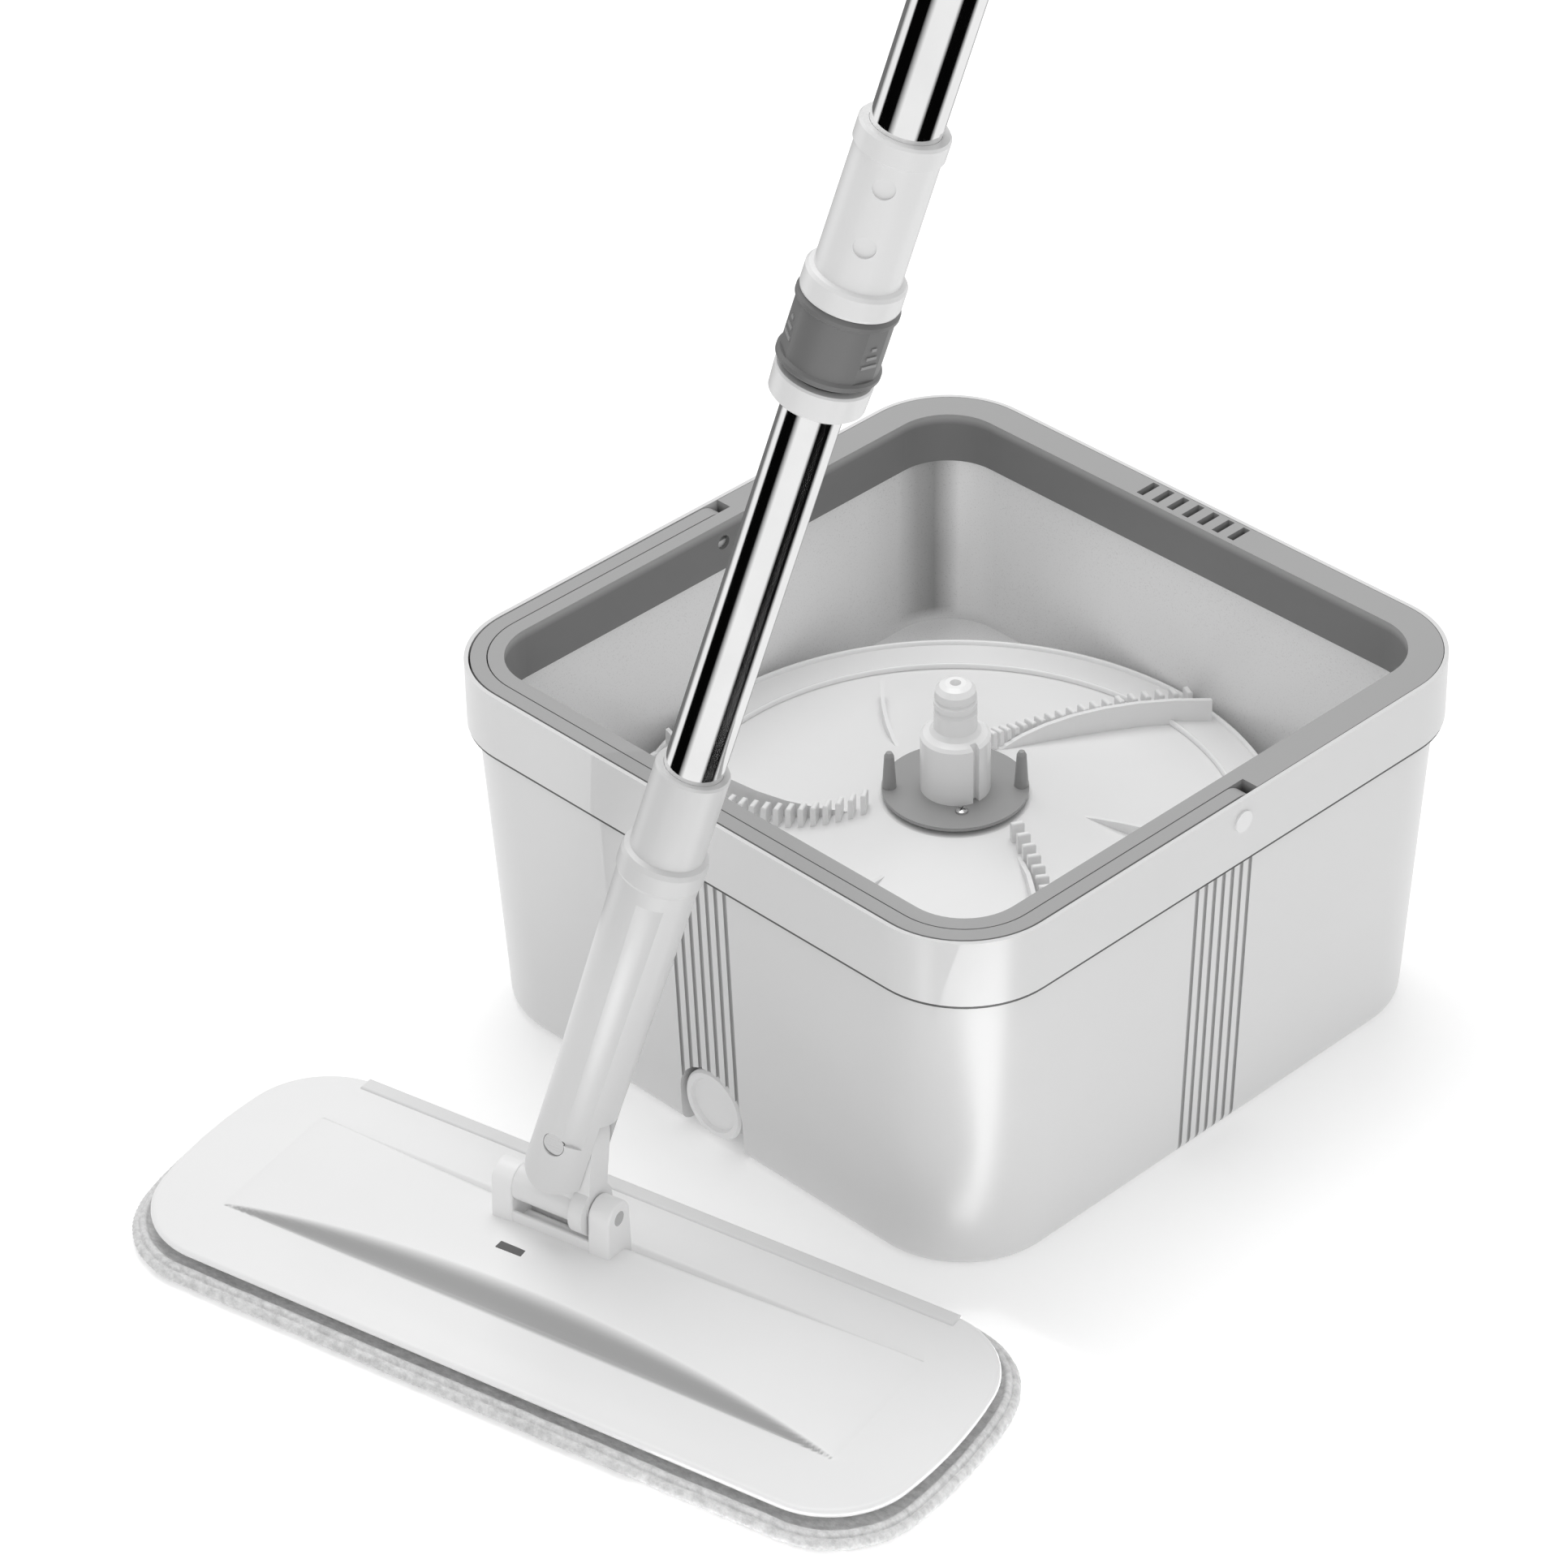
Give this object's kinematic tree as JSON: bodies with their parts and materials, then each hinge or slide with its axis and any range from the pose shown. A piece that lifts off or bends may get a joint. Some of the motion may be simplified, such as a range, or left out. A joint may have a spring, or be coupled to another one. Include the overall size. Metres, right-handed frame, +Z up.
{
  "type": "spin mop set",
  "caption": "Square bucket with a central spinner and combed wash tray, and a flat mop on a telescopic pole.",
  "frame": {"origin": "centre of the bucket's base, on the floor", "axes": "+Z up; the bucket's sides lie along X and Y; the drain and the mop are on the -Y side"},
  "size_m": [0.4142, 0.4836, 1.1659],
  "materials": {
    "white_plastic": "smooth satin white",
    "rim_plastic": "satin grey",
    "basin_plastic": "satin light grey",
    "tray_plastic": "satin grey",
    "dark_plastic": "satin dark grey",
    "head_plastic": "satin white",
    "joint_plastic": "satin white",
    "sleeve_plastic": "satin white",
    "lock_plastic": "satin mid grey",
    "collar_plastic": "smooth white",
    "steel_parts": "machined",
    "tube_steel": "polished stainless",
    "seal_rubber": "soft",
    "cloth": "looped microfibre",
    "hook_tape": "hook tape"
  },
  "bodies": {
    "bucket": {"outer_bucket": "white_plastic", "handle_pivot_pins": "white_plastic", "rim_ring": "rim_plastic", "inner_basin": "basin_plastic", "wash_tray": "tray_plastic", "tank_divider": "basin_plastic", "bearing_housing": "dark_plastic", "hub_bearings": "steel_parts", "housing_screws": "steel_parts", "pump_housing": "basin_plastic", "pump_cover": "basin_plastic", "drain_socket": "dark_plastic"},
    "handle": {"carry_handle": "rim_plastic"},
    "rotor": {"rotor_flange": "tray_plastic", "drive_pins": "dark_plastic", "flange_screws": "steel_parts", "spindle_post": "tray_plastic", "post_cap": "tray_plastic", "spindle_shaft": "steel_parts", "pump_impeller": "dark_plastic", "shaft_clip": "steel_parts"},
    "plug": {"drain_plug": "tray_plastic", "drain_seal": "seal_rubber"},
    "mop_head": {"head_plate": "head_plastic", "rear_edge_strip": "joint_plastic", "base_plate": "dark_plastic", "plate_screws": "steel_parts", "hook_strips": "hook_tape", "cloth_pad": "cloth", "hinge_axle": "steel_parts"},
    "knuckle": {"knuckle_block": "joint_plastic"},
    "lower_pole": {"tilt_pin": "steel_parts", "pole_socket": "sleeve_plastic", "socket_screw": "steel_parts", "lower_tube": "tube_steel", "nut_housing": "dark_plastic", "nut_retainer": "dark_plastic"},
    "nut": {"drive_nut": "dark_plastic"},
    "upper_pole": {"twisted_rod": "steel_parts", "rod_anchor": "dark_plastic", "upper_tube": "tube_steel", "clamp_bush": "dark_plastic", "end_ring": "sleeve_plastic", "collar_sleeve": "collar_plastic", "hand_grip": "dark_plastic", "hanging_cap": "dark_plastic"},
    "lock": {"lock_ring": "lock_plastic"}
  },
  "joints": [
    {"name": "handle_swing", "type": "hinge", "parent": "bucket", "child": "handle", "pos_m": [0, 0.002, 0.1505], "axis": [-1, 0, 0], "range_deg": [0, 90]},
    {"name": "rotor_spin", "type": "hinge", "parent": "bucket", "child": "rotor", "pos_m": [0, 0, 0.1], "axis": [0, 0, 1], "continuous": true},
    {"name": "plug_pull", "type": "slide", "parent": "bucket", "child": "plug", "axis": [0, -1, 0], "range_m": [0, 0.025]},
    {"name": "head_slide", "type": "slide", "parent": "bucket", "child": "mop_head", "axis": [0.2164, -0.9763, 0], "range_m": [0, 0.3]},
    {"name": "head_hinge", "type": "hinge", "parent": "mop_head", "child": "knuckle", "pos_m": [0.01865, -0.23043, 0.037], "axis": [0.9763, 0.2164, 0], "range_deg": [-14, 80]},
    {"name": "pole_tilt", "type": "hinge", "parent": "knuckle", "child": "lower_pole", "pos_m": [0.02218, -0.22511, 0.06667], "axis": [-0.2141, 0.9656, -0.1478], "range_deg": [-90, 70]},
    {"name": "pole_slide", "type": "slide", "parent": "lower_pole", "child": "upper_pole", "axis": [0.2068, 0.1927, 0.9592], "range_m": [-0.15, 0.2]},
    {"name": "nut_turn", "type": "hinge", "parent": "lower_pole", "child": "nut", "pos_m": [0.16364, -0.09331, 0.72278], "axis": [0.2068, 0.1927, 0.9592], "range_deg": [-485, 365]},
    {"name": "lock_turn", "type": "hinge", "parent": "upper_pole", "child": "lock", "pos_m": [0.0956, -0.15671, 0.40719], "axis": [0.2068, 0.1927, 0.9592], "range_deg": [0, 60]}
  ],
  "couplings": [
    {"joint": "nut_turn", "follows": "pole_slide", "rad_per_m": -41.888}
  ]
}
